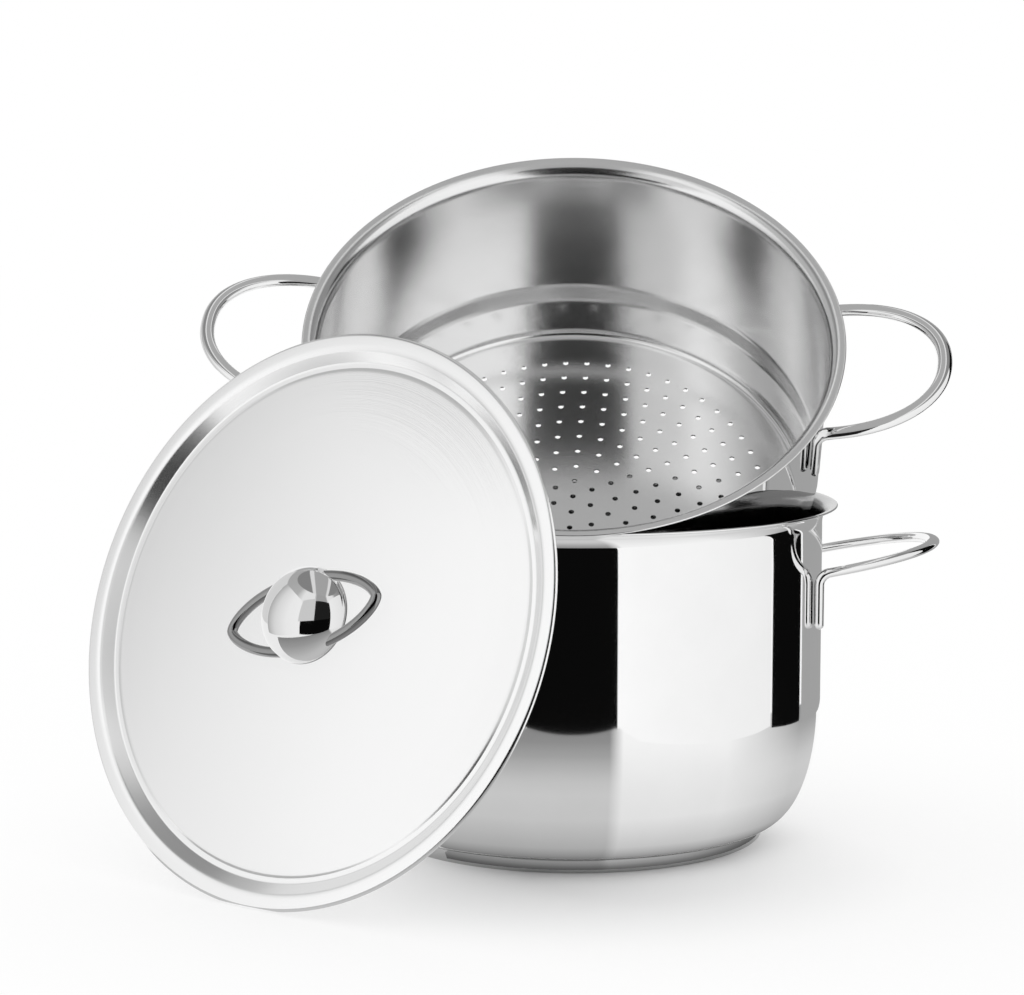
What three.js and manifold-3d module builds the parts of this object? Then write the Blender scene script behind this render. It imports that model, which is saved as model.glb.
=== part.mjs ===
import * as THREE from 'three';
import { mergeGeometries, mergeVertices } from 'three/addons/utils/BufferGeometryUtils.js';
import ManifoldModule from 'manifold-3d';

// Couscous pot in polished stainless steel: a stock pot on a sandwich base, a perforated steamer
// that stands tilted in the pot's mouth, and a lid on its edge that leans on the steamer.
// Millimetres, +Z up. The origin is the centre of the pot's base on the floor, and the front is -Y.

// Gaps
const CLEARANCE = 0.3; // between pieces that touch
const SEAT_GAP = 0.5; // between the steamer and the pot that it stands in, on true circles

// Stock pot
const POT_RADIUS = 120; // outside of the wall, which the steamer shares so that one lid fits both
const POT_HEIGHT = 161; // floor to the top of the lip
const POT_SHEET = 0.9;
const POT_CORNER_WIDTH = 27; // the bottom corner is a quarter of an ellipse
const POT_CORNER_HEIGHT = 60;
const POT_HANDLE_DROP = 29; // lip to the strands of the handle

// Lips of both vessels
const LIP_FLARE = 7.2; // how far the lip stands out from the wall
const LIP_RISE = 9; // height over which it turns outwards

// Sandwich base
const BASE_RADIUS = 92.3;
const BASE_CAP_SHEET = 0.7;
const BASE_CORE_THICKNESS = 5.2;

// Steamer
const STEAMER_SHEET = 0.8;
const STEAMER_DEPTH = 112; // lip to the underside of the bottom
const STEAMER_CORNER = 6; // radius of the bottom corner
const NECK_HEIGHT = 25; // narrow part that drops into the pot
const NECK_FIT = 2.1; // play of the neck in the pot's mouth
const STEP_HEIGHT = 8; // slope from the neck to the wall, which rests on the pot's lip
const HOLE_DIAMETER = 2.8;
const HOLE_PITCH = 10.5; // between rings of holes
const HOLE_RINGS = 9;
const STEAMER_HANDLE_DROP = 15;
const STEAMER_TILT = 40.5; // degrees, forwards
const STEAMER_TURN = -4.3; // degrees, about its own axis

// Wire handles
const WIRE_WIDTH = 7; // in the plane of the loop
const WIRE_DEPTH = 4.6;
const HANDLE_SPAN = 82; // between the strands
const HANDLE_REACH = 53; // wall to the middle of the wire at the tip
const HANDLE_RISE = 11; // degrees above level
const HANDLE_FULLNESS = 2.2; // 2 is half an ellipse, more is squarer
const HANDLE_BEND = 6; // radius of the bend from foot to strand
const FOOT_LENGTH = 21;

// Lid
const LID_OVERHANG = 3.8; // flange beyond the lip of a vessel
const LID_SHEET = 1;
const LID_CROWN = 3; // height of the middle of the panel above its edge
const LID_PANEL_RISE = 1; // height of the panel's edge above the bottom of the groove
const LID_GROOVE_DEPTH = 5;
const LID_GROOVE_WIDTH = 4.2;
const LID_SHOULDER = 5.8; // width of the curve from the groove up to the flange
const LID_FIT = 0.9; // play of the groove in the mouth of a vessel
const LID_EDGE_CURL = 0.6;
const LID_LEAN = 70.6; // degrees from lying flat
const LID_TURN = -35; // degrees about the vertical
const LID_SHIFT = -25.4; // sideways from the axis of the pot, along the floor

// Knob
const COLLAR_FOOT = 19.5; // radius where the collar stands on the lid
const COLLAR_HEIGHT = 2;
const DOME_RADIUS = 22;
const DOME_HEIGHT = 16;
const RING_WIRE = 4.8;
const RING_LENGTH = 85; // over the wire
const RING_WIDTH = 37;
const RING_POINT = 0.3; // 0 is an ellipse, more is more pointed
const RING_TURN = 17; // degrees about the axis of the lid
const RING_JOINT = 0.6; // where the ends of the wire meet, inside the dome
const SCREW_RADIUS = 2.5;
const SCREW_GRIP = 9; // length in the dome
const SCREW_HEAD_RADIUS = 4.6;
const SCREW_HEAD_HEIGHT = 3;
const SCREW_HEAD_BEVEL = 0.9;
const WASHER_RADIUS = 7.5;
const WASHER_THICKNESS = 1;

// Facets
const VESSEL_SIDES = 44;
const KNOB_SIDES = 18;
const SCREW_SIDES = 16;
const HOLE_SIDES = 5;
const WIRE_SIDES = 8;
const HANDLE_STEPS = 24;
const LOOP_POINTS = 11;
const RING_STEPS = 28;
const RING_POINTS = 36;

// Search for the places where the pieces touch
const TOUCH_POINTS = 120; // round a lip
const TOUCH_WIRE_STEPS = 120; // along a handle
const SEAT_STEPS = 80;
const LEAN_STEPS = 30;

const wasm = await ManifoldModule();
wasm.setup();

const degrees = THREE.MathUtils.degToRad;
const at = (radius, height) => new THREE.Vector2(radius, height);

// Points on an ellipse from one angle to another, in degrees, the first one left out
function arc(centre, radiusX, radiusY, from, to, count) {
  return Array.from({ length: count }, (_, i) => {
    const angle = degrees(from + ((to - from) * (i + 1)) / count);
    return at(centre.x + radiusX * Math.cos(angle), centre.y + radiusY * Math.sin(angle));
  });
}

// Closed profile of a sheet: its outer line from the axis out, then back along its inner line
function sheetProfile(line, sheet) {
  const inner = line.map((point, i) => {
    const before = line[Math.max(i - 1, 0)];
    const after = line[Math.min(i + 1, line.length - 1)];
    const along = after.clone().sub(before).normalize();
    return at(point.x - along.y * sheet, point.y + along.x * sheet);
  });
  inner[0].x = line[0].x;
  return [...line, ...inner.reverse()];
}

// A profile turned about the Z axis
function revolve(profile, sides) {
  return new THREE.LatheGeometry(profile, sides).rotateX(Math.PI / 2);
}

// A profile that doesn't reach the axis has to close on itself
function revolveRing(profile, sides) {
  return revolve([...profile, profile[0].clone()], sides);
}

function solidOf(geometry) {
  const bare = geometry.clone();
  bare.deleteAttribute('normal');
  bare.deleteAttribute('uv');
  const merged = mergeVertices(bare.index ? bare.toNonIndexed() : bare, 1e-4);
  const corners = merged.index.array;
  const triangles = [];
  for (let i = 0; i < corners.length; i += 3) {
    const [a, b, c] = corners.slice(i, i + 3);
    if (a !== b && b !== c && c !== a) triangles.push(a, b, c);
  }
  const vertProperties = new Float32Array(merged.getAttribute('position').array);
  const triVerts = new Uint32Array(triangles);
  return new wasm.Manifold(new wasm.Mesh({ numProp: 3, vertProperties, triVerts }));
}

function cut(geometry, ...cutters) {
  let solid = solidOf(geometry);
  for (const cutter of cutters) solid = solid.subtract(solidOf(cutter));
  const shell = solid.getMesh();
  const result = new THREE.BufferGeometry();
  result.setAttribute('position', new THREE.BufferAttribute(shell.vertProperties, 3));
  result.setIndex(new THREE.BufferAttribute(shell.triVerts, 1));
  result.computeVertexNormals();
  return result;
}

// Closed section of a wire, as an ellipse
function wireSection(width, depth) {
  const section = new THREE.Shape();
  for (let i = 0; i < WIRE_SIDES; i++) {
    const angle = ((i + 0.5) / WIRE_SIDES) * 2 * Math.PI;
    const [x, y] = [(width / 2) * Math.cos(angle), (depth / 2) * Math.sin(angle)];
    if (i === 0) section.moveTo(x, y);
    else section.lineTo(x, y);
  }
  section.closePath();
  return section;
}

function sweep(section, points, steps) {
  const extrudePath = new THREE.CatmullRomCurve3(points, false, 'centripetal');
  return new THREE.ExtrudeGeometry(section, { steps, extrudePath, bevelEnabled: false });
}

function mesh(name, geometry, color, roughness, metalness) {
  const piece = new THREE.Mesh(geometry, new THREE.MeshStandardMaterial({ color, roughness, metalness }));
  piece.name = name;
  return piece;
}

const mirrorSteel = (name, geometry) => mesh(name, geometry, 0xc9cacb, 0.08, 1);
const satinSteel = (name, geometry) => mesh(name, geometry, 0xd2d2d1, 0.3, 1);

// The lip turns out from the wall in a quarter of an ellipse and ends level
function lipLine(wall, top) {
  return arc(at(wall + LIP_FLARE, top - LIP_RISE), -LIP_FLARE, LIP_RISE, 0, 90, 3);
}

// Stock pot
const baseHeight = BASE_CAP_SHEET + BASE_CORE_THICKNESS + 2 * CLEARANCE;
const cornerCentre = at(POT_RADIUS - POT_CORNER_WIDTH, baseHeight + POT_CORNER_HEIGHT);
const potLine = [
  at(0, baseHeight),
  at(cornerCentre.x, baseHeight),
  ...arc(cornerCentre, POT_CORNER_WIDTH, POT_CORNER_HEIGHT, -90, 0, 4),
  at(POT_RADIUS, POT_HEIGHT - LIP_RISE),
  ...lipLine(POT_RADIUS, POT_HEIGHT - POT_SHEET),
];
const potProfile = sheetProfile(potLine, POT_SHEET);
const potBody = mirrorSteel('pot_body', revolve(potProfile, VESSEL_SIDES));

// The cap is a shallow steel tray that holds the aluminium core against the pot
const capLine = [at(0, 0), at(BASE_RADIUS, 0), at(BASE_RADIUS, baseHeight - CLEARANCE)];
const capInside = BASE_RADIUS - BASE_CAP_SHEET;
const capProfile = [
  ...capLine,
  at(capInside, baseHeight - CLEARANCE),
  at(capInside, BASE_CAP_SHEET),
  at(0, BASE_CAP_SHEET),
];
const baseCap = mirrorSteel('pot_base_cap', revolve(capProfile, VESSEL_SIDES));
const coreBottom = BASE_CAP_SHEET + CLEARANCE;
const coreRadius = capInside - CLEARANCE;
const coreProfile = [
  at(0, coreBottom),
  at(coreRadius, coreBottom),
  at(coreRadius, coreBottom + BASE_CORE_THICKNESS),
  at(0, coreBottom + BASE_CORE_THICKNESS),
];
const baseCore = mesh('pot_base_core', revolve(coreProfile, VESSEL_SIDES), 0xb4b6b8, 0.45, 1);

// A handle is one bent wire: a foot up the wall, a bend, the loop, and the same down again.
// The loop is half of a full ellipse in a plane that rises from the wall.
function handleGeometry(strandHeight, steps) {
  const halfSpan = HANDLE_SPAN / 2;
  const slant = Math.asin(halfSpan / POT_RADIUS);
  const halfWire = Math.hypot((WIRE_DEPTH / 2) * Math.cos(slant), (WIRE_WIDTH / 2) * Math.sin(slant));
  const footX = Math.sqrt((POT_RADIUS + CLEARANCE + halfWire) ** 2 - halfSpan ** 2);
  const rise = degrees(HANDLE_RISE);
  const fullness = 2 / HANDLE_FULLNESS;
  const bendCentre = at(footX + HANDLE_BEND, strandHeight - HANDLE_BEND * Math.cos(rise));
  const bend = arc(bendCentre, HANDLE_BEND, HANDLE_BEND, 180, 90 + HANDLE_RISE, 4);
  const loopStart = bend.at(-1);
  const reach = (POT_RADIUS + HANDLE_REACH - loopStart.x) / Math.cos(rise);
  const loop = Array.from({ length: LOOP_POINTS }, (_, i) => {
    const angle = ((i + 1) / (LOOP_POINTS + 1)) * Math.PI;
    const out = reach * Math.sin(angle) ** fullness;
    const across = halfSpan * Math.sign(Math.cos(angle)) * Math.abs(Math.cos(angle)) ** fullness;
    const [x, z] = [loopStart.x + out * Math.cos(rise), loopStart.y + out * Math.sin(rise)];
    return new THREE.Vector3(x, across, z);
  });
  const foot = [at(footX, bendCentre.y - FOOT_LENGTH), at(footX, bendCentre.y), ...bend];
  const side = (sign) => foot.map((point) => new THREE.Vector3(point.x, sign * halfSpan, point.y));
  const points = [...side(1), ...loop, ...side(-1).reverse()];
  return sweep(wireSection(WIRE_WIDTH, WIRE_DEPTH), points, steps);
}

function handlePair(vessel, strandHeight) {
  return ['right', 'left'].map((side, i) => {
    const handle = mirrorSteel(`${vessel}_handle_${side}`, handleGeometry(strandHeight, HANDLE_STEPS));
    handle.rotation.z = i * Math.PI;
    return handle;
  });
}

const potHandleHeight = POT_HEIGHT - POT_HANDLE_DROP;
const potHandles = handlePair('pot', potHandleHeight);
const pot = new THREE.Group();
pot.add(potBody, baseCap, baseCore, ...potHandles);

// Steamer, in its own frame: the underside of the bottom is at height 0
const neckRadius = POT_RADIUS - POT_SHEET - NECK_FIT;
const steamerLine = [
  at(0, 0),
  at(neckRadius - STEAMER_CORNER, 0),
  ...arc(at(neckRadius - STEAMER_CORNER, STEAMER_CORNER), STEAMER_CORNER, STEAMER_CORNER, -90, 0, 2),
  at(neckRadius, NECK_HEIGHT),
  at(POT_RADIUS, NECK_HEIGHT + STEP_HEIGHT),
  at(POT_RADIUS, STEAMER_DEPTH - LIP_RISE),
  ...lipLine(POT_RADIUS, STEAMER_DEPTH - STEAMER_SHEET),
];
const steamerProfile = sheetProfile(steamerLine, STEAMER_SHEET);

// Perforation: a hole in the middle, and rings with six more holes each than the last
function perforation() {
  const length = 4 * STEAMER_SHEET;
  const hole = new THREE.CylinderGeometry(HOLE_DIAMETER / 2, HOLE_DIAMETER / 2, length, HOLE_SIDES);
  hole.rotateX(Math.PI / 2);
  const holes = [hole];
  for (let ring = 1; ring <= HOLE_RINGS; ring++) {
    for (let i = 0; i < 6 * ring; i++) {
      const angle = (i / (6 * ring)) * 2 * Math.PI;
      const [x, y] = [ring * HOLE_PITCH * Math.sin(angle), ring * HOLE_PITCH * Math.cos(angle)];
      holes.push(hole.clone().translate(x, y, 0));
    }
  }
  return mergeGeometries(holes);
}

const steamerShell = cut(revolve(steamerProfile, VESSEL_SIDES), perforation());
const steamer = new THREE.Group();
steamer.add(satinSteel('steamer_body', steamerShell));
const steamerHandleHeight = STEAMER_DEPTH - STEAMER_HANDLE_DROP;
const steamerHandles = handlePair('steamer', steamerHandleHeight);
steamer.add(...steamerHandles);

// Distance of a point from a profile line: positive on the outside, which is to its right
function distanceOutside(line, point) {
  let nearest = Infinity;
  for (let i = 1; i < line.length; i++) {
    const along = line[i].clone().sub(line[i - 1]);
    const away = point.clone().sub(line[i - 1]);
    const share = THREE.MathUtils.clamp(away.dot(along) / along.lengthSq(), 0, 1);
    const sign = along.cross(away) > 0 ? -1 : 1;
    const distance = sign * away.distanceTo(along.multiplyScalar(share));
    if (Math.abs(distance) < Math.abs(nearest)) nearest = distance;
  }
  return nearest;
}

// Points of a vessel's lip, all round
function lipPoints(profile, height) {
  const lip = profile.filter((point) => point.y > height - LIP_RISE - LIP_FLARE);
  return lip.flatMap((point) =>
    Array.from({ length: TOUCH_POINTS }, (_, i) => {
      const angle = (i / TOUCH_POINTS) * 2 * Math.PI;
      return new THREE.Vector3(point.x * Math.sin(angle), -point.x * Math.cos(angle), point.y);
    }),
  );
}

const leastOf = (values) => values.reduce((least, value) => Math.min(least, value), Infinity);

// The tilted steamer rests in the pot's mouth on its front wall and on its bottom corner. Each
// step moves it square to its wall and square to its bottom until both are a seat gap away.
function seatSteamer() {
  const rim = lipPoints(potProfile, POT_HEIGHT);
  const gap = (points) =>
    leastOf(
      points.map((point) => {
        const local = steamer.worldToLocal(point.clone());
        return distanceOutside(steamerLine, at(Math.hypot(local.x, local.y), local.z));
      }),
    );
  steamer.rotation.set(degrees(STEAMER_TILT), 0, degrees(STEAMER_TURN));
  steamer.position.set(0, POT_RADIUS / 3, POT_HEIGHT);
  const tilt = degrees(STEAMER_TILT);
  for (let i = 0; i < SEAT_STEPS; i++) {
    steamer.updateMatrixWorld();
    const back = SEAT_GAP - gap(rim.filter((point) => point.y < 0));
    const up = SEAT_GAP - gap(rim.filter((point) => point.y > 0));
    steamer.position.y += back * Math.cos(tilt) - up * Math.sin(tilt);
    steamer.position.z += back * Math.sin(tilt) + up * Math.cos(tilt);
  }
  steamer.updateMatrixWorld();
}
seatSteamer();

// Lid, in its own frame: the underside of the flange is at height 0, and inside the groove lies
// a sunken panel with a low crown
const lidRadius = POT_RADIUS + LIP_FLARE + LID_OVERHANG;
const grooveRadius = POT_RADIUS - POT_SHEET - LID_FIT;
const panelRadius = grooveRadius - LID_GROOVE_WIDTH;
const panelEdge = LID_PANEL_RISE - LID_GROOVE_DEPTH;
const panelHeight = (radius) => panelEdge + LID_CROWN * (1 - (radius / panelRadius) ** 2);
const boltRadius = SCREW_RADIUS + CLEARANCE;
const lidLine = [
  ...[boltRadius, panelRadius / 2, panelRadius].map((radius) => at(radius, panelHeight(radius))),
  at(panelRadius + LID_GROOVE_WIDTH / 3, -LID_GROOVE_DEPTH),
  at(grooveRadius, -LID_GROOVE_DEPTH),
  ...arc(at(grooveRadius + LID_SHOULDER, -LID_GROOVE_DEPTH), -LID_SHOULDER, LID_GROOVE_DEPTH, 0, 90, 3),
  at(lidRadius - LID_SHEET - LID_EDGE_CURL, 0),
  at(lidRadius - LID_SHEET, -LID_EDGE_CURL),
];
const lidProfile = sheetProfile(lidLine, LID_SHEET);
const lidDisc = satinSteel('lid_disc', revolveRing(lidProfile, VESSEL_SIDES));

// Knob, from the lid up: a low round collar, the grip ring of bent wire, and the dome over both
const collarBottom = panelHeight(0) + LID_SHEET + CLEARANCE;
const collarTop = collarBottom + COLLAR_HEIGHT;
const collarProfile = [
  at(boltRadius, collarBottom),
  at(COLLAR_FOOT, collarBottom),
  ...arc(at(COLLAR_FOOT, collarTop), DOME_RADIUS - COLLAR_FOOT, COLLAR_HEIGHT, -90, 0, 3),
  at(boltRadius, collarTop),
];
const collar = mirrorSteel('lid_knob_collar', revolveRing(collarProfile, KNOB_SIDES));

// The wire follows an almond: its width falls off faster than an ellipse's towards the points
function almond(halfLength, halfWidth, angle) {
  const across = Math.sin(angle) * Math.abs(Math.sin(angle)) ** RING_POINT;
  return at(halfLength * Math.cos(angle), halfWidth * across);
}

const ringHeight = collarTop + CLEARANCE + RING_WIRE / 2;
const ringHalfLength = (RING_LENGTH - RING_WIRE) / 2;
const ringHalfWidth = (RING_WIDTH - RING_WIRE) / 2;
const jointAngle = RING_JOINT / 2 / ringHalfLength;
const ringPoints = Array.from({ length: RING_POINTS + 1 }, (_, i) => {
  const angle = Math.PI / 2 + jointAngle + (i / RING_POINTS) * 2 * (Math.PI - jointAngle);
  const point = almond(ringHalfLength, ringHalfWidth, angle);
  return new THREE.Vector3(point.x, point.y, ringHeight);
});
const ring = mirrorSteel('lid_ring', sweep(wireSection(RING_WIRE, RING_WIRE), ringPoints, RING_STEPS));

// The dome has a slot from below that the wire lies in, and a blind hole for the screw
const domeBottom = collarTop + CLEARANCE;
const boreTop = domeBottom + SCREW_GRIP + SCREW_RADIUS;
const domeProfile = [
  at(boltRadius, domeBottom),
  at(DOME_RADIUS, domeBottom),
  ...arc(at(0, domeBottom), DOME_RADIUS, DOME_HEIGHT, 0, 90, 6),
  at(0, boreTop),
  at(boltRadius, boreTop),
  at(boltRadius, domeBottom),
];
function slotGeometry() {
  const play = RING_WIRE / 2 + 2 * CLEARANCE;
  const outline = (offset) =>
    Array.from({ length: RING_POINTS }, (_, i) =>
      almond(ringHalfLength + offset, ringHalfWidth + offset, (i / RING_POINTS) * 2 * Math.PI),
    );
  const band = new THREE.Shape(outline(play));
  band.holes.push(new THREE.Path(outline(-play)));
  const slot = new THREE.ExtrudeGeometry(band, { depth: RING_WIRE + 2 * CLEARANCE, bevelEnabled: false });
  return slot.translate(0, 0, domeBottom - CLEARANCE);
}
const dome = mirrorSteel('lid_knob_dome', cut(revolve(domeProfile, KNOB_SIDES), slotGeometry()));

// A screw from inside the lid, with a washer, holds the knob
const washerTop = panelHeight(0) - CLEARANCE;
const washerProfile = [
  at(boltRadius, washerTop - WASHER_THICKNESS),
  at(WASHER_RADIUS, washerTop - WASHER_THICKNESS),
  at(WASHER_RADIUS, washerTop),
  at(boltRadius, washerTop),
];
const washer = satinSteel('lid_washer', revolveRing(washerProfile, SCREW_SIDES));
const headTop = washerTop - WASHER_THICKNESS - CLEARANCE;
const screwProfile = [
  at(0, headTop - SCREW_HEAD_HEIGHT),
  at(SCREW_HEAD_RADIUS - SCREW_HEAD_BEVEL, headTop - SCREW_HEAD_HEIGHT),
  at(SCREW_HEAD_RADIUS, headTop - SCREW_HEAD_HEIGHT / 2),
  at(SCREW_HEAD_RADIUS, headTop),
  at(SCREW_RADIUS, headTop),
  at(SCREW_RADIUS, domeBottom + SCREW_GRIP),
  at(0, domeBottom + SCREW_GRIP),
];
const screw = satinSteel('lid_screw', revolve(screwProfile, SCREW_SIDES));

const lid = new THREE.Group();
const knob = new THREE.Group();
knob.add(collar, ring, dome, screw, washer);
knob.rotation.z = degrees(RING_TURN);
lid.add(lidDisc, knob);

// Points of the wires of a pair of handles, finer than their solids
function wirePoints(handles, strandHeight) {
  const wire = handleGeometry(strandHeight, TOUCH_WIRE_STEPS).getAttribute('position');
  return handles.flatMap((handle) => {
    handle.updateWorldMatrix(true, false);
    return Array.from({ length: wire.count }, (_, i) =>
      handle.localToWorld(new THREE.Vector3().fromBufferAttribute(wire, i)),
    );
  });
}

// The lid stands on its edge and leans back until it meets a lip or a handle of the steamer or
// of the pot. The distance from the pot's axis is found by halving.
function leanLid() {
  const lean = degrees(LID_LEAN);
  const turn = degrees(LID_TURN);
  const touched = [
    ...lipPoints(potProfile, POT_HEIGHT),
    ...lipPoints(steamerProfile, STEAMER_DEPTH).map((point) => steamer.localToWorld(point)),
    ...wirePoints(potHandles, potHandleHeight),
    ...wirePoints(steamerHandles, steamerHandleHeight),
  ];
  const edgeDrop = lidProfile.map((point) => point.y * Math.cos(lean) - point.x * Math.sin(lean));
  const forwards = new THREE.Vector3(Math.sin(turn), -Math.cos(turn), 0);
  const sideways = new THREE.Vector3(Math.cos(turn), Math.sin(turn), 0);
  lid.rotation.set(lean, 0, turn, 'ZXY');
  const gapAt = (distance) => {
    lid.position.copy(sideways).multiplyScalar(LID_SHIFT).addScaledVector(forwards, distance);
    lid.position.z = -leastOf(edgeDrop);
    lid.updateMatrixWorld();
    const local = touched.map((point) => lid.worldToLocal(point.clone()));
    const profile = local.map((point) => at(Math.hypot(point.x, point.y), point.z));
    const within = profile.filter((point) => point.x < lidRadius + CLEARANCE);
    return leastOf(within.map((point) => distanceOutside(lidLine, point)));
  };
  let [touching, clear] = [0, 4 * POT_RADIUS];
  for (let i = 0; i < LEAN_STEPS; i++) {
    const middle = (touching + clear) / 2;
    if (gapAt(middle) > CLEARANCE) clear = middle;
    else touching = middle;
  }
  gapAt(clear);
}
leanLid();

const couscousPot = new THREE.Group();
couscousPot.add(pot, steamer, lid);

export default couscousPot;
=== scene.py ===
import bmesh
import bpy
import numpy as np
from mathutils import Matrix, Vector
from mathutils.geometry import delaunay_2d_cdt


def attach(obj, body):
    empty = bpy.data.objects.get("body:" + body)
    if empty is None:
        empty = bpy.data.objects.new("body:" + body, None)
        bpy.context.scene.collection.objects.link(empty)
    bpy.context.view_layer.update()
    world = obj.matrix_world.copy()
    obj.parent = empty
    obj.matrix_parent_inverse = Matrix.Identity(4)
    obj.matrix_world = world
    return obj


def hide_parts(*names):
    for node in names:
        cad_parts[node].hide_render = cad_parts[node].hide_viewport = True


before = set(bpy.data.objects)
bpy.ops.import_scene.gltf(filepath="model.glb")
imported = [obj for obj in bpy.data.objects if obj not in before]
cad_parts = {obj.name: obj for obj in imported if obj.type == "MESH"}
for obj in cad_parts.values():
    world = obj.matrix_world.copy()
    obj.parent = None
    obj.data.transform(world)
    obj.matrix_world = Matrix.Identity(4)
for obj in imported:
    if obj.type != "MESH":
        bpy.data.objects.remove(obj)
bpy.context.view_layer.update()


# Stock pot: one drawn sheet of stainless steel, mirror-polished outside and satin inside, with a
# deep rounded bottom corner and a lip that flares for pouring. It carries everything else.
POT_RADIUS, POT_HEIGHT, POT_SHEET = 0.120, 0.161, 0.0009
POT_UNDERSIDE = 0.0066
POT_CORNER = 0.027, 0.060
LIP_FLARE, LIP_RISE = 0.0068, 0.0075
EDGE_POINTS = 7


def bow(centre, radii, start, end, steps):
    """Part of an ellipse: centre + radii * (cos a, sin a), with a from start to end in degrees."""
    a = np.radians(np.linspace(start, end, steps))[:, None]
    return np.array(centre) + np.array(radii) * np.concatenate([np.cos(a), np.sin(a)], 1)


def lip(wall, top):
    """The flare of a vessel's lip, a quarter of an ellipse that ends level."""
    return bow((wall + LIP_FLARE, top - LIP_RISE), (-LIP_FLARE, LIP_RISE), 0, 90, 12)


def sheet(line, thickness):
    """Section of a sheet: the line, a half-round edge, and the line moved square to itself."""
    along = np.gradient(line, axis=0)
    along /= np.linalg.norm(along, axis=1, keepdims=True)
    square = np.stack([-along[:, 1], along[:, 0]], 1)
    inner = line + thickness * square
    a = np.radians(np.linspace(-90, 90, EDGE_POINTS + 2)[1:-1])[:, None]
    edge = (line[-1] + inner[-1] + thickness * (np.cos(a) * along[-1] + np.sin(a) * square[-1])) / 2
    return np.concatenate([line, edge, inner[::-1]])


def turned(section, sides=192):
    """A section of (radius, height) turned about Z: (r cos t, r sin t, h)."""
    t = np.linspace(0, 2 * np.pi, sides, endpoint=False)
    r, h = section[:, :1], section[:, 1:]
    return np.stack([r * np.cos(t), r * np.sin(t), h + 0 * t], -1)


def quads(rows, columns, ring=False):
    """Corners of a grid's faces. Its columns close on themselves, and its rows do if it is a ring."""
    row, column = np.indices((rows if ring else rows - 1, columns))
    here, above = row * columns, (row + 1) % rows * columns
    beside = (column + 1) % columns
    return np.stack([here + column, here + beside, above + beside, above + column], -1).reshape(-1, 4)


def make_piece(name, points, faces, marks=(), crease=35):
    """A smooth mesh with its poles and seams merged. Marks are numbers, one for each point, that the
    finish reads."""
    mesh = bpy.data.meshes.new(name)
    mesh.from_pydata(points.reshape(-1, 3).tolist(), [], [f for group in faces for f in group.tolist()])
    for mark, values in dict(marks).items():
        values = np.broadcast_to(values, points.shape[:-1]).astype(np.float32)
        mesh.attributes.new(mark, "FLOAT", "POINT").data.foreach_set("value", values.ravel())
    merged = bmesh.new()
    merged.from_mesh(mesh)
    bmesh.ops.remove_doubles(merged, verts=merged.verts, dist=2e-6)
    merged.to_mesh(mesh)
    merged.free()
    mesh.shade_smooth()
    mesh.set_sharp_from_angle(angle=np.radians(crease))
    made = bpy.data.objects.new(name, mesh)
    bpy.context.scene.collection.objects.link(made)
    return made


class Shade:
    """A socket of a finish. Operators on it add Math nodes, and node() adds any other node."""

    def __init__(self, tree, socket=None):
        self.tree, self.socket = tree, socket

    def node(self, kind, settings=(), inputs=(), output=0):
        made = self.tree.nodes.new("ShaderNode" + kind)
        for name, value in dict(settings).items():
            setattr(made, name, value)
        for name, value in dict(inputs).items():
            if isinstance(value, Shade):
                self.tree.links.new(value.socket, made.inputs[name])
            else:
                made.inputs[name].default_value = value
        return Shade(self.tree, made.outputs[output] if made.outputs else None)

    def math(self, operation, a, b):
        return self.node("Math", {"operation": operation}, {0: a, 1: b})

    def __add__(self, other):
        return self.math("ADD", self, other)

    def __sub__(self, other):
        return self.math("SUBTRACT", self, other)

    def __mul__(self, other):
        return self.math("MULTIPLY", self, other)

    __radd__, __rmul__ = __add__, __mul__


def start_finish(name):
    """A material with an empty tree, and the Shade that adds to it."""
    material = bpy.data.materials.new(name)
    material.use_nodes = True
    material.node_tree.nodes.clear()
    return material, Shade(material.node_tree)


MIRROR_COLOUR = 0.95, 0.95, 0.95


def polished_steel(name, colour=MIRROR_COLOUR, gloss=0.035):
    """Mirror polish: faint smears of the buffing wheel change the gloss, and the sheet waves a little."""
    material, shade = start_finish(name)
    place = shade.node("TexCoord", output="Object")
    smear = shade.node("TexNoise", {}, {"Vector": place, "Scale": 22.0, "Detail": 4.0, "Roughness": 0.6})
    hairline = shade.node("TexNoise", {}, {"Vector": place, "Scale": 900.0, "Detail": 2.0})
    brighter = 1.05 * np.array(colour)
    tint = shade.node("Mix", {"data_type": "RGBA"}, {0: smear, 6: (*colour, 1), 7: (*brighter, 1)}, 2)
    wave = shade.node("Bump", {}, {"Strength": 0.012, "Distance": 0.001, "Height": smear + 0.04 * hairline})
    surface = shade.node("BsdfPrincipled", {}, {
        "Base Color": tint, "Metallic": 1.0, "Roughness": gloss + 0.03 * smear, "Normal": wave})
    shade.node("OutputMaterial", {}, {"Surface": surface})
    return material


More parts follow.
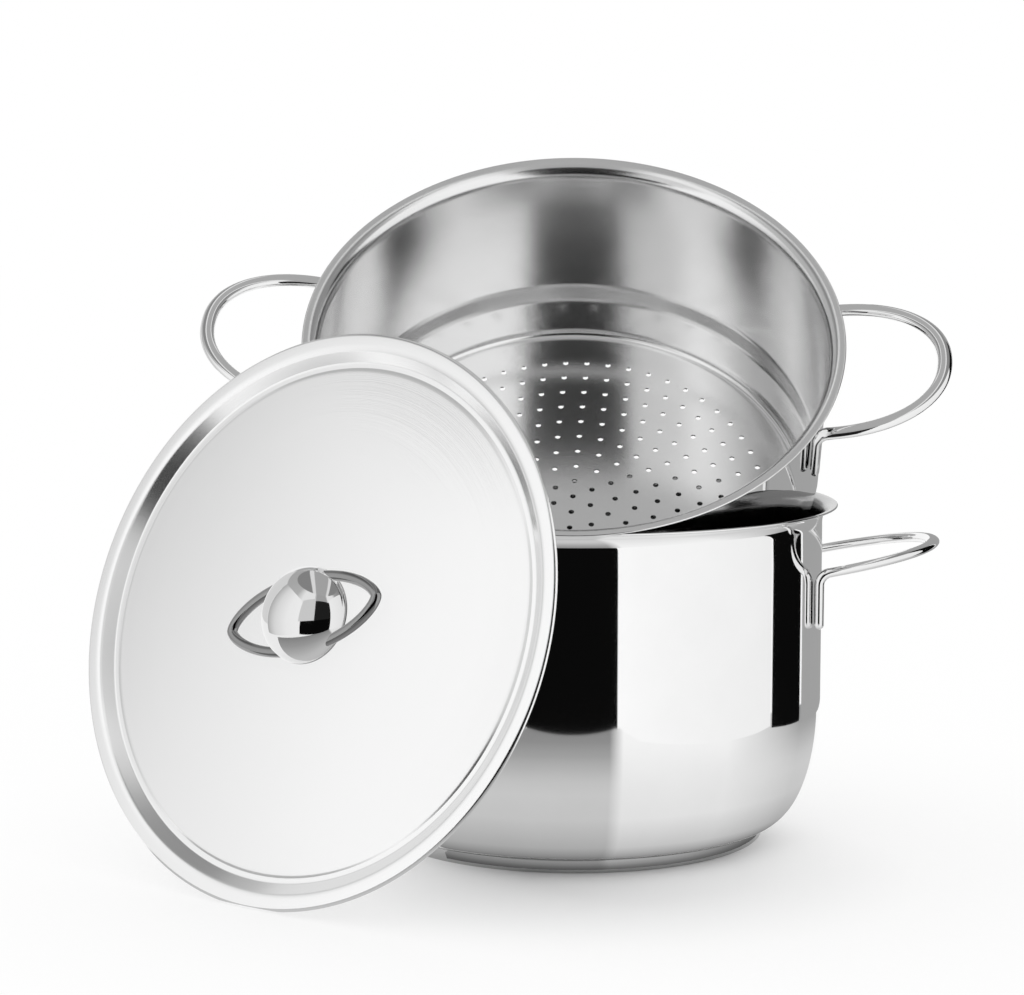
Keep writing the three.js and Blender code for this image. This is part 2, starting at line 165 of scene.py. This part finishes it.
def vessel_steel(name, inside_colour_and_shade, inside_gloss):
    """Mirror polish outside. Inside, the mark "inside" is 1 and the sheet is satin from a turning pad,
    whose fine rings follow the mark "along", the distance along the section."""
    material, shade = start_finish(name)
    place = shade.node("TexCoord", output="Object")
    inside = shade.node("Attribute", {"attribute_name": "inside"}, output="Fac")
    along = shade.node("Attribute", {"attribute_name": "along"}, output="Fac")
    smear = shade.node("TexNoise", {}, {"Vector": place, "Scale": 18.0, "Detail": 4.0, "Roughness": 0.6})
    rings = shade.node("TexNoise", {"noise_dimensions": "1D"}, {"W": along, "Scale": 2600.0, "Detail": 3.0})
    # Inside, the sheet takes its given inside colour; on the pot that colour is painted shade.
    clean = shade.node("Mix", {"data_type": "RGBA"}, {
        0: inside, 6: (*MIRROR_COLOUR, 1), 7: (*inside_colour_and_shade, 1)}, 2)
    tint = shade.node("Mix", {"data_type": "RGBA", "blend_type": "MULTIPLY"}, {
        0: 1.0, 6: clean, 7: 0.95 + 0.1 * smear}, 2)
    polish = 0.02 + 0.03 * smear
    satin = inside_gloss + 0.06 * rings + 0.05 * smear
    gloss = polish + inside * (satin - polish)
    grain = shade.node("Bump", {}, {
        "Strength": 0.05, "Distance": 0.0004, "Height": inside * rings + 0.2 * smear})
    surface = shade.node("BsdfPrincipled", {}, {
        "Base Color": tint, "Metallic": 1.0, "Roughness": gloss, "Normal": grain})
    shade.node("OutputMaterial", {}, {"Surface": surface})
    return material


corner_middle = np.array([POT_RADIUS - POT_CORNER[0], POT_UNDERSIDE + POT_CORNER[1]])
pot_top = POT_HEIGHT - POT_SHEET
pot_line = np.concatenate([
    np.stack([np.linspace(0, corner_middle[0], 9)[:-1], np.full(8, POT_UNDERSIDE)], 1),
    bow(corner_middle, POT_CORNER, -90, 0, 40),
    np.stack([np.full(6, POT_RADIUS), np.linspace(corner_middle[1], pot_top - LIP_RISE, 8)[1:-1]], 1),
    lip(POT_RADIUS, pot_top),
])
pot_section = sheet(pot_line, POT_SHEET)


def section_marks(section, line):
    """Marks of a turned sheet: the distance along its section, and 1 past the middle of its edge."""
    along = np.concatenate([[0], np.cumsum(np.linalg.norm(np.diff(section, axis=0), axis=1))])
    inside = (np.arange(len(section)) > len(line) + EDGE_POINTS // 2).astype(float)
    return {"along": along[:, None], "inside": inside[:, None]}


pot_points = turned(pot_section)
pot_marks = section_marks(pot_section, pot_line)
pot = make_piece("stock_pot", pot_points, [quads(*pot_points.shape[:2])], pot_marks)
# The pot's inside is given a dark grey, 0.42, against the steamer's 0.90: painted shade for the hollow
# under the steamer.
pot.data.materials.append(vessel_steel("pot steel with painted shade inside", (0.42, 0.42, 0.42), 0.12))
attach(pot, "pot")
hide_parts("pot_body")


# Sandwich base: a shallow pressed steel cap with softened edges, brazed under the pot over a
# disc of aluminium that spreads the heat. Only the cap's rim shows.
BASE_RADIUS, BASE_SHEET, BASE_RIM, BASE_EASING = 0.0923, 0.0007, 0.0063, 0.0012


def eased(corners, cut, steps=6):
    """A line of straight runs whose corners are rounded: each is cut back on both sides and bridged by
    the parabola (1-t)^2 a + 2t(1-t) corner + t^2 b."""
    corners = np.array(corners, float)
    t = np.linspace(0, 1, steps)[:, None]
    before, middle, after = corners[:-2], corners[1:-1], corners[2:]
    cuts = np.broadcast_to(cut, len(middle))[:, None]
    a = middle + cuts * (before - middle) / np.linalg.norm(before - middle, axis=1, keepdims=True)
    b = middle + cuts * (after - middle) / np.linalg.norm(after - middle, axis=1, keepdims=True)
    bends = [(1 - t) ** 2 * p + 2 * t * (1 - t) * q + t ** 2 * r for p, q, r in zip(a, middle, b)]
    return np.concatenate([corners[:1], *bends, corners[-1:]])


cap_line = eased([(0, 0), (BASE_RADIUS, 0), (BASE_RADIUS, BASE_RIM - BASE_SHEET / 2)], BASE_EASING, 8)
cap_section = sheet(cap_line, BASE_SHEET)
cap_points = turned(cap_section)
cap = make_piece("base_cap", cap_points, [quads(*cap_points.shape[:2])])
# The cap's polished steel is given a dark grey, 0.44: painted shade for the rim, which sits low in the
# pot's shadow on the floor.
cap.data.materials.append(polished_steel("base cap steel with painted shade", colour=(0.44, 0.44, 0.44), gloss=0.08))
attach(cap, "pot")
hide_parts("pot_base_cap")

core_metal, shade = start_finish("rolled aluminium")
place = shade.node("TexCoord", output="Object")
mill = shade.node("TexNoise", {}, {"Vector": place, "Scale": 300.0, "Detail": 3.0})
surface = shade.node("BsdfPrincipled", {}, {
    "Base Color": (0.70, 0.71, 0.72, 1), "Metallic": 1.0, "Roughness": 0.4 + 0.2 * mill})
shade.node("OutputMaterial", {}, {"Surface": surface})
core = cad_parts["pot_base_core"]
core.data.materials.clear()
core.data.materials.append(core_metal)


# Handles: each is one length of oval steel wire, bent into a loop that rises from the wall, with
# two upright feet that are spot-welded to the vessel.
WIRE_WIDTH, WIRE_DEPTH, WIRE_END, WIRE_SIDES = 0.0070, 0.0046, 0.0022, 20
HANDLE_SPAN, HANDLE_REACH, HANDLE_RISE = 0.082, 0.053, np.radians(11)
HANDLE_FULLNESS, HANDLE_BEND, FOOT_LENGTH, WELD_GAP = 2.2, 0.006, 0.021, 0.0003
POT_HANDLE_DROP = 0.029


def wire(path, across):
    """Oval wire along a path: path + width/2 cos(a) across + depth/2 sin(a) up, up square to both.
    At its ends the oval shrinks as a half ellipse does."""
    along = np.gradient(path, axis=0)
    along /= np.linalg.norm(along, axis=1, keepdims=True)
    up = np.cross(along, across)
    a = np.linspace(0, 2 * np.pi, WIRE_SIDES, endpoint=False)[:, None]
    run = np.concatenate([[0], np.cumsum(np.linalg.norm(np.diff(path, axis=0), axis=1))])
    inward = np.clip(np.minimum(run, run[-1] - run) / WIRE_END, 0, 1)
    size = np.sqrt(1 - (1 - inward) ** 2)
    oval = WIRE_WIDTH / 2 * np.cos(a) * across[:, None] + WIRE_DEPTH / 2 * np.sin(a) * up[:, None]
    return path[:, None] + size[:, None, None] * oval


def handle_points(strand_height):
    """Right handle: up the foot, round the bend, along the loop (reach sin^f, span/2 cos^f) with
    f = 2 / fullness in a plane that rises from level, and down the other foot."""
    half = HANDLE_SPAN / 2
    slant = np.arcsin(half / POT_RADIUS)
    half_wire = np.hypot(WIRE_DEPTH / 2 * np.cos(slant), WIRE_WIDTH / 2 * np.sin(slant))
    foot_x = np.sqrt((POT_RADIUS + WELD_GAP + half_wire) ** 2 - half ** 2)
    bend_centre = np.array([foot_x + HANDLE_BEND, strand_height - HANDLE_BEND * np.cos(HANDLE_RISE)])
    bend = bow(bend_centre, (HANDLE_BEND, HANDLE_BEND), 180, 90 + np.degrees(HANDLE_RISE), 14)
    below = FOOT_LENGTH * np.cos(np.linspace(0, np.pi / 2, 12)[:-1])
    foot = np.concatenate([np.stack([np.full(len(below), foot_x), bend_centre[1] - below], 1), bend])
    reach = (POT_RADIUS + HANDLE_REACH - foot[-1, 0]) / np.cos(HANDLE_RISE)
    a = np.linspace(0, np.pi, 97)[1:-1]
    out = reach * np.sin(a) ** (2 / HANDLE_FULLNESS)
    side = half * np.sign(np.cos(a)) * np.abs(np.cos(a)) ** (2 / HANDLE_FULLNESS)
    outward, upward = foot[-1][:, None] + out * np.array([[np.cos(HANDLE_RISE)], [np.sin(HANDLE_RISE)]])
    loop = np.stack([outward, side, upward], 1)
    first = np.stack([foot[:, 0], np.full(len(foot), half), foot[:, 1]], 1)
    last = first[::-1] * (1, -1, 1)
    path = np.concatenate([first, loop, last])
    plane = np.array([-np.sin(HANDLE_RISE), 0, np.cos(HANDLE_RISE)])
    sideways = np.zeros_like(path)
    sideways[:len(first), 1], sideways[-len(last):, 1] = 1, -1
    turn = np.cross(plane, np.gradient(path, axis=0)[len(first):-len(last)])
    sideways[len(first):-len(last)] = turn / np.linalg.norm(turn, axis=1, keepdims=True)
    return wire(path, sideways)


def turn_about(axis, degrees):
    """The matrix of a turn about X or Z."""
    c, s = np.cos(np.radians(degrees)), np.sin(np.radians(degrees))
    if axis == "X":
        return np.array([[1, 0, 0], [0, c, -s], [0, s, c]])
    return np.array([[c, -s, 0], [s, c, 0], [0, 0, 1]])


wire_steel = polished_steel("wire steel", colour=(0.88, 0.88, 0.88), gloss=0.05)


def add_handles(vessel, strand_height, turn=np.eye(3), place=np.zeros(3)):
    """Both handles of a vessel: the left one is the right one half a turn round."""
    for side, degrees in (("right", 0), ("left", 180)):
        points = handle_points(strand_height) @ (turn @ turn_about("Z", degrees)).T + place
        made = make_piece(f"{vessel}_wire_{side}", points, [quads(*points.shape[:2])])
        made.data.materials.append(wire_steel)
        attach(made, vessel)
        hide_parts(f"{vessel}_handle_{side}")


add_handles("pot", POT_HEIGHT - POT_HANDLE_DROP)


# Steamer: a drawn steel bowl with a narrow neck that drops into the pot and a step that rests on
# its lip. Rings of holes are punched in its flat bottom. Here it stands tilted in the pot's mouth.
STEAMER_SHEET, STEAMER_DEPTH, NECK_RADIUS = 0.0008, 0.112, 0.117
STEP_BOTTOM, STEP_TOP, STEP_EASING, BOTTOM_EASING = 0.025, 0.033, 0.0022, 0.006
STEAMER_HANDLE_DROP = 0.015
STEAMER_PLACE = np.array([0, 0.038124, 0.158167])
STEAMER_TURN = turn_about("X", 40.5) @ turn_about("Z", -4.3)
PLATE_RADIUS, HOLE_RADIUS, HOLE_PITCH, HOLE_RINGS, HOLE_SIDES = 0.104, 0.0014, 0.0105, 9, 14

wall_low, wall_high = (POT_RADIUS, 0.060), (POT_RADIUS, 0.085)
steamer_line = np.concatenate([
    eased([(PLATE_RADIUS, 0), (NECK_RADIUS, 0), (NECK_RADIUS, STEP_BOTTOM), (POT_RADIUS, STEP_TOP),
           wall_low], (BOTTOM_EASING, STEP_EASING, STEP_EASING), 10),
    [wall_high],
    lip(POT_RADIUS, STEAMER_DEPTH - STEAMER_SHEET),
])
steamer_section = sheet(steamer_line, STEAMER_SHEET)
shell = turned(steamer_section)

# One hole in the middle, and rings round it of six more holes each.
in_ring = np.maximum(6 * np.arange(HOLE_RINGS + 1), 1)
ring = np.repeat(np.arange(HOLE_RINGS + 1), in_ring)
first = (np.cumsum(in_ring) - in_ring)[ring]
angle = (np.arange(len(ring)) - first) / in_ring[ring] * 2 * np.pi
centres = HOLE_PITCH * ring[:, None] * np.stack([np.sin(angle), np.cos(angle)], 1)


def punched_plate(centres):
    """Flat disc with round holes: its outline and the holes' rims are joined by triangles, and the
    triangles inside the holes are left out. Returns the plate's points and faces on both sides."""
    a = np.linspace(0, 2 * np.pi, HOLE_SIDES, endpoint=False)
    rims = centres[:, None] + HOLE_RADIUS * np.stack([np.cos(a), np.sin(a)], 1)
    outline = shell[0, :, :2]
    flat = np.concatenate([rims.reshape(-1, 2), outline])
    k = np.arange(rims.shape[0] * HOLE_SIDES)
    rim_edges = np.stack([k, k - k % HOLE_SIDES + (k + 1) % HOLE_SIDES], 1)
    j = np.arange(len(outline))
    outline_edges = len(k) + np.stack([j, (j + 1) % len(j)], 1)
    edges = np.concatenate([rim_edges, outline_edges]).tolist()
    found, _, triangles, *_ = delaunay_2d_cdt([Vector(p) for p in flat.tolist()], edges, [], 0, 1e-7)
    found, triangles = np.array([tuple(p) for p in found]), np.array(triangles)
    middle = found[triangles].mean(1)
    solid = np.linalg.norm(middle[:, None] - centres, axis=-1).min(1) > 0.97 * HOLE_RADIUS
    triangles = triangles[solid]
    n, m = len(found), len(k)
    spread = np.concatenate([found, found, flat[:m], flat[:m]])
    height = np.repeat([0, STEAMER_SHEET, 0, STEAMER_SHEET], [n, n, m, m])
    start, end = rim_edges.T + 2 * n
    walls = np.stack([end, start, start + m, end + m], 1)
    return np.column_stack([spread, height]), [triangles[:, ::-1], triangles + n, walls]


plate, plate_faces = punched_plate(centres)
steamer_points = np.concatenate([plate, shell.reshape(-1, 3)])
steamer_marks = section_marks(steamer_section, steamer_line)
reach_out = np.linalg.norm(plate[:, :2], axis=1)
on_top = (plate[:, 2] > STEAMER_SHEET / 2).astype(float)
sides = shell.shape[1]
steamer = make_piece(
    "steamer", steamer_points @ STEAMER_TURN.T + STEAMER_PLACE,
    [*plate_faces, quads(*shell.shape[:2]) + len(plate)],
    {"along": np.concatenate([reach_out, np.repeat(steamer_marks["along"], sides)]),
     "inside": np.concatenate([on_top, np.repeat(steamer_marks["inside"], sides)])})
steamer.data.materials.append(vessel_steel("steamer steel", (0.90, 0.90, 0.90), 0.115))
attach(steamer, "steamer")
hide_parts("steamer_body")

add_handles("steamer", STEAMER_DEPTH - STEAMER_HANDLE_DROP, STEAMER_TURN, STEAMER_PLACE)


# Lid: a pressed steel disc with a sunken panel of low crown, a groove that drops into a vessel's
# mouth and a flat flange that covers its lip. It is satin on top, blasted underneath, and leans on
# the steamer. The polished pieces don't mirror it.
LID_SHEET, LID_RADIUS, GROOVE_RADIUS, GROOVE_WIDTH, GROOVE_DEPTH = 0.001, 0.131, 0.1182, 0.0042, 0.005
CROWN, PANEL_EDGE, PANEL_EASING, SHOULDER, BOLT_RADIUS = 0.0036, -0.0046, 0.0012, 0.0058, 0.0028
EDGE_BEND, EDGE_END, EDGE_DROP, PANEL_MARGIN = 0.0017, 0.0014, 0.0005, 0.0005
LID_EASING = 0.0006, 0.0003, 0.0010, 0.0016, 0.0003
LID_PLACE = np.array([-0.116197, -0.121663, 0.123250])
LID_TURN = turn_about("Z", -35) @ turn_about("X", 70.6)

panel_radius = GROOVE_RADIUS - GROOVE_WIDTH
r = np.linspace(BOLT_RADIUS, panel_radius - PANEL_EASING, 24)
panel = np.stack([r, PANEL_EDGE + CROWN * (1 - (r / panel_radius) ** 2)], 1)
lid_line = np.concatenate([panel[:-1], eased([
    panel[-1], (panel_radius, PANEL_EDGE), (panel_radius + GROOVE_WIDTH / 3, -GROOVE_DEPTH),
    (GROOVE_RADIUS, -GROOVE_DEPTH), (GROOVE_RADIUS + SHOULDER, 0), (LID_RADIUS - EDGE_BEND, 0),
    (LID_RADIUS - EDGE_END, -EDGE_DROP)], LID_EASING, 8)])
lid_section = sheet(lid_line, LID_SHEET)
lid_points = turned(lid_section, 256)


def satin_lid_steel(name):
    """Satin steel: rings from a turning pad, finer than the eye resolves, on the mark "panel", a plainer
    polish round it, and a soft cloud of wear. It is blasted underneath, where the mark "inside" is 0."""
    material, shade = start_finish(name)
    place = shade.node("TexCoord", output="Object")
    along = shade.node("Attribute", {"attribute_name": "along"}, output="Fac")
    panel = shade.node("Attribute", {"attribute_name": "panel"}, output="Fac")
    cloud = shade.node("TexNoise", {}, {"Vector": place, "Scale": 9.0, "Detail": 4.0, "Roughness": 0.55})
    rings = shade.node("TexNoise", {"noise_dimensions": "1D"}, {"W": along, "Scale": 3000.0, "Detail": 3.0})
    tint = shade.node("Mix", {"data_type": "RGBA"}, {
        0: 0.6 * cloud + 0.4 * rings, 6: (0.95, 0.95, 0.95, 1), 7: (1.0, 1.0, 1.0, 1)}, 2)
    top = shade.node("Attribute", {"attribute_name": "inside"}, output="Fac")
    polish = 0.17 + 0.06 * cloud
    satin = 0.16 + 0.06 * rings + 0.06 * cloud
    blasted = 0.6 + 0.15 * cloud
    gloss = blasted + top * (polish + panel * (satin - polish) - blasted)
    grain = shade.node("Bump", {}, {"Strength": 0.11, "Distance": 0.0004, "Height": panel * rings})
    surface = shade.node("BsdfPrincipled", {}, {
        "Base Color": tint, "Metallic": 1.0, "Roughness": gloss, "Normal": grain})
    shade.node("OutputMaterial", {}, {"Surface": surface})
    return material


lid_marks = section_marks(lid_section, lid_line)
lid_marks["panel"] = (lid_section[:, :1] < panel_radius - PANEL_MARGIN).astype(float)
lid = make_piece(
    "lid_plate", lid_points @ LID_TURN.T + LID_PLACE, [quads(*lid_points.shape[:2], ring=True)], lid_marks)
lid.data.materials.append(satin_lid_steel("lid steel"))
lid.visible_glossy = False
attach(lid, "lid")
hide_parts("lid_disc")


# Knob: a polished half-round cap on a low round collar, screwed to the lid from inside. Through it runs
# a ring of round wire, bent to an almond, whose two points stand out for the fingertips. The polished
# pieces don't mirror it either.
COLLAR_FOOT, COLLAR_BOTTOM, COLLAR_TOP = 0.0195, 0.0003, 0.0023
DOME_RADIUS, DOME_HEIGHT, DOME_BOTTOM, DOME_RIM, DOME_EASING = 0.022, 0.016, 0.0026, 0.002, 0.0009
RING_WIRE, RING_LENGTH, RING_WIDTH, RING_POINT = 0.0048, 0.085, 0.037, 0.3
KNOB_TURN = LID_TURN @ turn_about("Z", 17)
knob_steel = polished_steel("knob steel", colour=(0.80, 0.80, 0.80), gloss=0.03)
# The ring and collar take the knob's polish with a far darker grey, 0.32: painted shade for the dark
# reflections of a thin wire.
shaded_ring_steel = polished_steel("ring steel with painted shade", colour=(0.32, 0.32, 0.32), gloss=0.08)


def add_knob_piece(name, points, node, ring=False, steel=knob_steel):
    """A piece of the knob, built round the lid's axis and set on the lid."""
    made = make_piece(name, points @ KNOB_TURN.T + LID_PLACE, [quads(*points.shape[:2], ring=ring)])
    made.data.materials.append(steel)
    made.visible_glossy = False
    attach(made, "lid")
    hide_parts(node)


collar_section = np.concatenate([
    [(BOLT_RADIUS, COLLAR_BOTTOM)],
    bow((COLLAR_FOOT, COLLAR_TOP), (DOME_RADIUS - COLLAR_FOOT, COLLAR_TOP - COLLAR_BOTTOM), -90, 0, 10),
    [(BOLT_RADIUS, COLLAR_TOP)]])
collar_points = turned(collar_section, 96)
add_knob_piece("knob_collar", collar_points, "lid_knob_collar", ring=True, steel=shaded_ring_steel)

dome_section = np.concatenate([
    [(0, DOME_BOTTOM)],
    eased([(DOME_RADIUS / 2, DOME_BOTTOM), (DOME_RADIUS, DOME_BOTTOM),
           (DOME_RADIUS, DOME_BOTTOM + DOME_RIM)], DOME_EASING)[:-1],
    bow((0, DOME_BOTTOM), (DOME_RADIUS, DOME_HEIGHT), 6, 90, 28)])
add_knob_piece("knob_dome", turned(dome_section, 96), "lid_knob_dome")

a = np.linspace(0, 2 * np.pi, 161)[:-1]
almond = np.stack([
    (RING_LENGTH - RING_WIRE) / 2 * np.cos(a),
    (RING_WIDTH - RING_WIRE) / 2 * np.sin(a) * np.abs(np.sin(a)) ** RING_POINT,
    np.full(len(a), DOME_BOTTOM + RING_WIRE / 2)], 1)
heading = np.roll(almond, -1, 0) - np.roll(almond, 1, 0)
outward = np.cross(heading, (0, 0, 1))
outward /= np.linalg.norm(outward, axis=1, keepdims=True)
b = np.linspace(0, 2 * np.pi, 18, endpoint=False)[:, None]
round_wire = np.cos(b) * outward[:, None] + np.sin(b) * np.array([0, 0, 1])
ring_points = almond[:, None] + RING_WIRE / 2 * round_wire
add_knob_piece("knob_ring", ring_points, "lid_ring", ring=True, steel=shaded_ring_steel)

# The screw and its washer show only from behind: a low turned head on a flat ring, of plain steel.
SCREW_RADIUS, SCREW_TOP, HEAD_RADIUS, HEAD_TOP, HEAD_HEIGHT = 0.0025, 0.0116, 0.0046, -0.0026, 0.003
WASHER_RADIUS, WASHER_BOTTOM, WASHER_TOP = 0.0075, -0.0023, -0.0013
HEAD_FLAT, HEAD_CHAMFER, SCREW_EASING = 0.001, 0.0009, 0.0003
head_bottom = HEAD_TOP - HEAD_HEIGHT
screw_section = np.concatenate([
    [(0, head_bottom)],
    eased([(HEAD_FLAT, head_bottom), (HEAD_RADIUS - HEAD_CHAMFER, head_bottom),
           (HEAD_RADIUS, HEAD_TOP - HEAD_HEIGHT / 2), (HEAD_RADIUS, HEAD_TOP), (SCREW_RADIUS, HEAD_TOP),
           (SCREW_RADIUS, SCREW_TOP)], SCREW_EASING),
    [(0, SCREW_TOP)]])
add_knob_piece("knob_screw", turned(screw_section, 48), "lid_screw")
washer_section = eased([
    (BOLT_RADIUS, WASHER_BOTTOM), (WASHER_RADIUS, WASHER_BOTTOM), (WASHER_RADIUS, WASHER_TOP),
    (BOLT_RADIUS, WASHER_TOP)], SCREW_EASING)
add_knob_piece("knob_washer", turned(washer_section, 48), "lid_washer", ring=True)


# Studio: a white floor under an even white sky. Black, grey and white cards stand round the object
# where only the polished steel sees them.
FLAG_DEPTH, FLAG_LEFT, FLAG_RIGHT, FLAG_TOP, BLACK = -0.45, -0.155, 0.142, 0.17, 0.003
CEILING, CEILING_HALF, VALANCE_BOTTOM, VALANCE_RADIUS = 0.9, 0.65, 0.47, 0.62

card_paint, shade = start_finish("card")
tone = shade.node("Attribute", {"attribute_name": "tone"}, output="Fac")
glow = shade.node("Emission", {}, {"Color": tone})
shade.node("OutputMaterial", {}, {"Surface": glow})


def card(name, points, tones):
    """A card, as a grid of points with a grey for each, that reflections see and the camera doesn't."""
    points = np.array(points, float)
    rows, columns = points.shape[:2]
    corners = quads(rows, columns).reshape(rows - 1, columns, 4)[:, :-1].reshape(-1, 4)
    mesh = bpy.data.meshes.new(name)
    mesh.from_pydata(points.reshape(-1, 3).tolist(), [], corners.tolist())
    greys = np.broadcast_to(tones, (rows, columns)).astype(np.float32).ravel()
    mesh.attributes.new("tone", "FLOAT", "POINT").data.foreach_set("value", greys)
    mesh.materials.append(card_paint)
    made = bpy.data.objects.new(name, mesh)
    bpy.context.scene.collection.objects.link(made)
    made.visible_camera = made.visible_diffuse = made.visible_shadow = False


def standing_card(name, start, end, tones, bottom=0.001, top=0.5):
    """A card that stands upright from one point to another, with an even step for each of its tones."""
    line = np.linspace(start, end, max(2, np.atleast_2d(tones).shape[1]))
    card(name, [[(*point, height) for point in line] for height in (bottom, top)], tones)


standing_card("front_flag_low", (-0.36, FLAG_DEPTH), (FLAG_RIGHT, FLAG_DEPTH), BLACK, top=FLAG_TOP)
standing_card("front_flag_high", (FLAG_LEFT, FLAG_DEPTH), (FLAG_RIGHT, FLAG_DEPTH), 5 * BLACK,
              bottom=FLAG_TOP, top=0.45)
standing_card("front_card_high", (-0.40, FLAG_DEPTH), (FLAG_LEFT, FLAG_DEPTH), 0.68, bottom=FLAG_TOP)
standing_card("right_screen", (0.144, -0.455), (0.401, -0.010), (1.0, 0.88))
standing_card("right_flag", (0.386, -0.007), (0.344, 0.132), BLACK)
standing_card("right_card", (0.339, 0.142), (0.180, 0.334), 0.36)
standing_card("left_screen", (-0.43, -0.46), (-0.52, 0.05), (1.0, 0.97, 0.80, 0.46))
standing_card("left_card", (-0.52, 0.06), (-0.35, 0.40), 0.75, bottom=0.07)
across = -CEILING_HALF, -0.29, -0.28, -0.19, -0.18, 0.18, 0.19, 0.28, 0.29, CEILING_HALF
card("ceiling", [[(u, v, CEILING) for u in across] for v in (-CEILING_HALF, CEILING_HALF)],
     (0.26, 0.26, 0.80, 0.80, 0.42, 0.42, 0.80, 0.80, 0.26, 0.26))
turns = np.linspace(-180, 180, 73)
rail = VALANCE_RADIUS * np.stack([np.sin(np.radians(turns)), -np.cos(np.radians(turns))], 1)
valance = [[(*point, height) for point in rail] for height in (VALANCE_BOTTOM, CEILING)]
card("valance", valance, np.interp(
    turns, (-180, -90, -60, -45, -20, -15, 15, 20, 45, 60, 100, 180),
    (0.42, 0.46, 0.50, 0.90, 0.90, 0.40, 0.40, 0.90, 0.90, 0.38, 0.26, 0.42)))

# A card of painted reflection: the floor as the pot's wall mirrors it to the camera, with painted shade
# dark at the foot of the front flag and close under the pot, and painted light before the white screen.
CAMERA_PLACE = np.array([0, -1.350, 0.318])
CARD_LIFT, CLOSE_RADIUS, EVEN_BY = 0.0012, 0.094, 0.030


def mirrored_floor(heights, turns):
    """Points where the floor shows in the wall at some heights and turns from the front: the view v to a
    wall point with normal n goes on along v - 2 (v.n) n and is followed down to the card."""
    h, t = np.meshgrid(heights, np.radians(turns), indexing="ij")
    fall = np.arcsin(np.clip((corner_middle[1] - h) / POT_CORNER[1], 0, 1))
    radius = corner_middle[0] + POT_CORNER[0] * np.cos(fall)
    tilt = np.arctan2(POT_CORNER[0] * np.sin(fall), POT_CORNER[1] * np.cos(fall))
    wall = np.stack([radius * np.sin(t), -radius * np.cos(t), h], -1)
    normal = np.stack([np.cos(tilt) * np.sin(t), -np.cos(tilt) * np.cos(t), -np.sin(tilt)], -1)
    view = wall - CAMERA_PLACE
    view /= np.linalg.norm(view, axis=-1, keepdims=True)
    onward = view - 2 * (view * normal).sum(-1, keepdims=True) * normal
    return wall - onward * ((h - CARD_LIFT) / onward[..., 2])[..., None]


turns = np.linspace(-40, 75, 116)
heights = np.array([0.0715, 0.066, 0.060, 0.054, 0.048, 0.042, 0.030, 0.022, 0.0155])
lit = mirrored_floor(heights, turns)
# A last ring of the card lies close under the pot, painted at 0.3 of the even grey as the pot's shadow.
close = np.stack([
    CLOSE_RADIUS * np.sin(np.radians(turns)), -CLOSE_RADIUS * np.cos(np.radians(turns)),
    np.full(len(turns), CARD_LIFT)], -1)
# At its foot the floor takes the tone of the flag or screen there, as painted shade and light. It turns
# to an even grey nearer the pot by the curve 3 x^2 - 2 x^3, and darkens under the pot as a painted shadow.
foot = np.interp(turns, (8, 11, 36, 62), (0.25, 0.95, 0.95, 0.30))
even = 0.52 + 0.32 * foot
nearer = np.clip((heights[0] - heights) / EVEN_BY, 0, 1)[:, None]
contact_shadow = np.interp(heights, (heights[-1], 0.030, 0.045), (0.70, 0.95, 1.0))[:, None]
below = contact_shadow * (foot + (even - foot) * nearer ** 2 * (3 - 2 * nearer))
card("floor_card", np.concatenate([lit, close[None]]), np.concatenate([below, 0.3 * even[None]]))

# The floor is white paper. Seen or mirrored, it also glows white, more the further it lies from
# SHADOW_MIDDLE:
# painted light that thins the paper's real shadow, so it turns from a soft shadow near the part to plain
# white.
FLOOR_HALF, SHADOW_MIDDLE = 8, (0.03, -0.09, 0)
floor_mesh = bpy.data.meshes.new("floor")
floor_corners = [(u * FLOOR_HALF, v * FLOOR_HALF, 0) for u, v in ((-1, -1), (1, -1), (1, 1), (-1, 1))]
floor_mesh.from_pydata(floor_corners, [], [(0, 1, 2, 3)])
floor = bpy.data.objects.new("floor", floor_mesh)
bpy.context.scene.collection.objects.link(floor)
paper, shade = start_finish("white paper")
matt = shade.node("BsdfPrincipled", {}, {
    "Base Color": (1, 1, 1, 1), "Roughness": 1.0, "Specular IOR Level": 0.0})
white = shade.node("Emission", {}, {"Color": (1, 1, 1, 1)})
seen = shade.node("LightPath", output="Is Camera Ray") + shade.node("LightPath", output="Is Glossy Ray")
place = shade.node("TexCoord", output="Object")
away = shade.node("VectorMath", {"operation": "DISTANCE"}, {0: place, 1: SHADOW_MIDDLE}, "Value")
# Painted light: the glow's share grows with the distance from SHADOW_MIDDLE.
near = shade.node("MapRange", {}, {
    "Value": away, "From Min": 0.05, "From Max": 0.13, "To Min": 0.0, "To Max": 0.58})
far = shade.node("MapRange", {}, {
    "Value": away, "From Min": 0.13, "From Max": 0.35, "To Min": 0.0, "To Max": 0.30})
surface = shade.node("MixShader", {}, {0: (near + far) * seen, 1: matt, 2: white})
shade.node("OutputMaterial", {}, {"Surface": surface})
floor_mesh.materials.append(paper)

world = bpy.data.worlds.new("studio")
world.use_nodes = True
bpy.context.scene.world = world
sky = Shade(world.node_tree)
world.node_tree.nodes.clear()
light = sky.node("Background", {}, {"Color": (1, 1, 1, 1), "Strength": 1.0})
sky.node("OutputWorld", {}, {"Surface": light})

CAMERA_TILT, CAMERA_TURN, CAMERA_LENS = 6.5717, 1.2485, 98.87
camera = bpy.data.objects.new("camera", bpy.data.cameras.new("camera"))
bpy.context.scene.collection.objects.link(camera)
camera.location = CAMERA_PLACE
camera.rotation_euler = np.radians((90 - CAMERA_TILT, 0, CAMERA_TURN))
camera.data.lens = CAMERA_LENS
camera.data.sensor_width = 36
bpy.context.scene.camera = camera
bpy.context.scene.view_settings.view_transform = "Standard"
